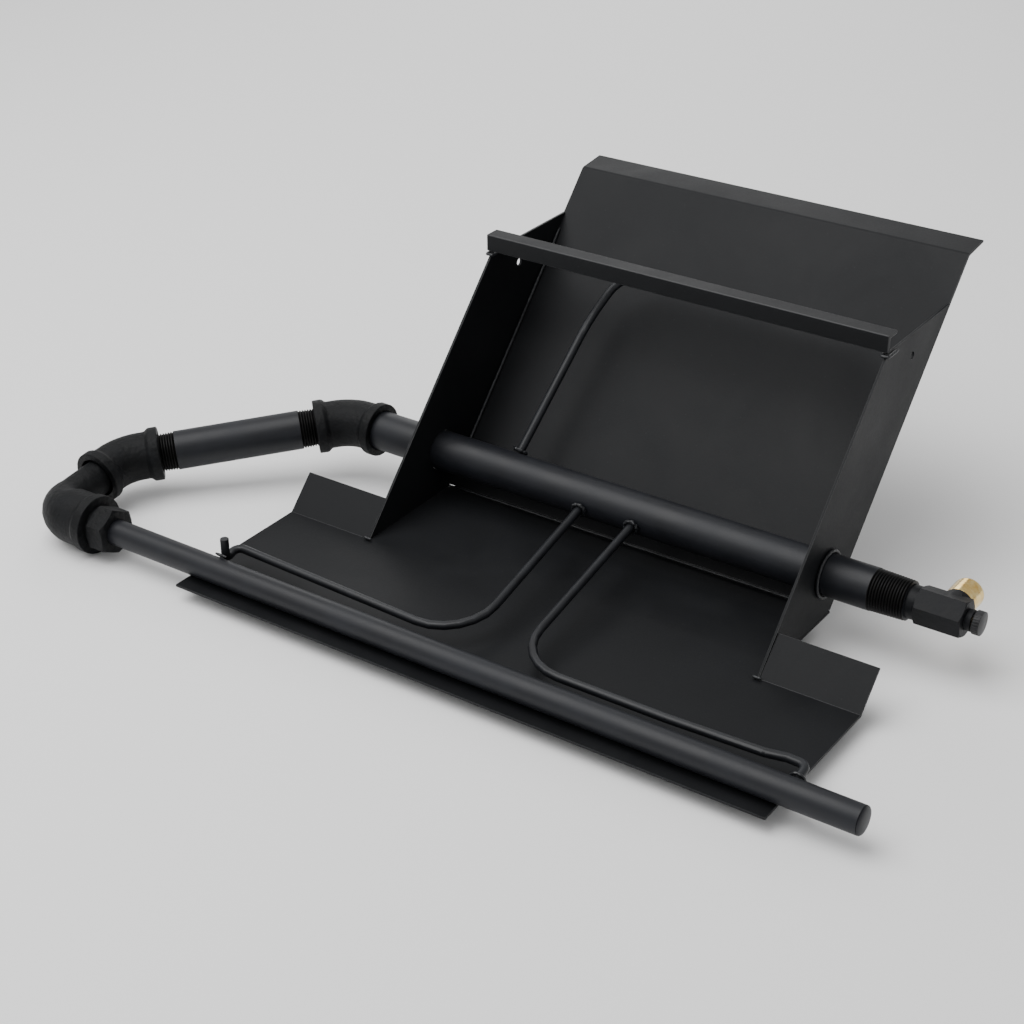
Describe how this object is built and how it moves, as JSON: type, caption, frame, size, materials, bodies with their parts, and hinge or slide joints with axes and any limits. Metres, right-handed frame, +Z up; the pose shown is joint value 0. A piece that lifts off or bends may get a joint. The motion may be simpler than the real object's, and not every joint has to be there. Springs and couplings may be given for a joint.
{
  "type": "propane burner stand",
  "caption": "Low steel stand for a propane flame: flat tray, leaning open hood, and a gas pipe loop that brings gas from a needle valve to a perforated burner pipe along the front.",
  "frame": {"origin": "on the tray's underside, at the middle of the line where its two side wings fold up", "axes": "+X along the pipes towards the gas inlet, +Y to the back of the hood, +Z up"},
  "size_m": [0.7595, 0.4871, 0.2386],
  "materials": {
    "black painted steel": "satin black paint on rolled sheet, angle and pipe",
    "black malleable iron": "sand-cast skin with a dull black coat",
    "black painted round bar": "satin black paint on drawn bar",
    "painted weld bead": "rippled bead under black paint",
    "black coated valve": "smooth semi-gloss black coat",
    "turned brass": "bright as turned",
    "black plastic knob": "fine moulded grain"
  },
  "bodies": {
    "stand": {"tray": "black painted steel", "back_plate": "black painted steel", "crossbar": "black painted steel", "side_plate_left": "black painted steel", "side_plate_right": "black painted steel", "main_pipe": "black painted steel", "nipple": "black painted steel", "burner_pipe": "black painted steel", "burner_end_plug": "black painted steel", "inlet_plug": "black painted steel", "elbow_upper": "black malleable iron", "elbow_lower": "black malleable iron", "street_elbow": "black malleable iron", "reducing_bushing": "black malleable iron", "brace_rod_left": "black painted round bar", "brace_rod_right": "black painted round bar", "brace_rod_upper": "black painted round bar", "foot_weld": "painted weld bead", "pipe_weld_left": "painted weld bead", "pipe_weld_right": "painted weld bead", "seam_weld_left": "painted weld bead", "seam_weld_right": "painted weld bead", "tip_weld_left": "painted weld bead", "tip_weld_right": "painted weld bead", "crossbar_weld_left": "painted weld bead", "crossbar_weld_right": "painted weld bead", "brace_root_weld_left": "painted weld bead", "brace_root_weld_right": "painted weld bead", "brace_root_weld_upper": "painted weld bead", "brace_end_weld_left": "painted weld bead", "brace_end_weld_right": "painted weld bead", "brace_end_weld_upper": "painted weld bead", "valve_body": "black coated valve", "packing_nut": "black coated valve", "brass_hose_fitting": "turned brass", "gas_jet": "turned brass"},
    "stem": {"valve_stem": "turned brass"},
    "knob": {"valve_knob": "black plastic knob"}
  },
  "joints": [
    {"name": "stem_travel", "type": "slide", "parent": "stand", "child": "stem", "axis": [1, 0, 0], "range_m": [0, 0.0015]},
    {"name": "knob_turn", "type": "hinge", "parent": "stem", "child": "knob", "pos_m": [0.299, 0.1, 0.0409], "axis": [1, 0, 0], "range_deg": [0, 540]}
  ],
  "couplings": [
    {"joint": "knob_turn", "follows": "stem_travel", "rad_per_m": 6283.2}
  ]
}
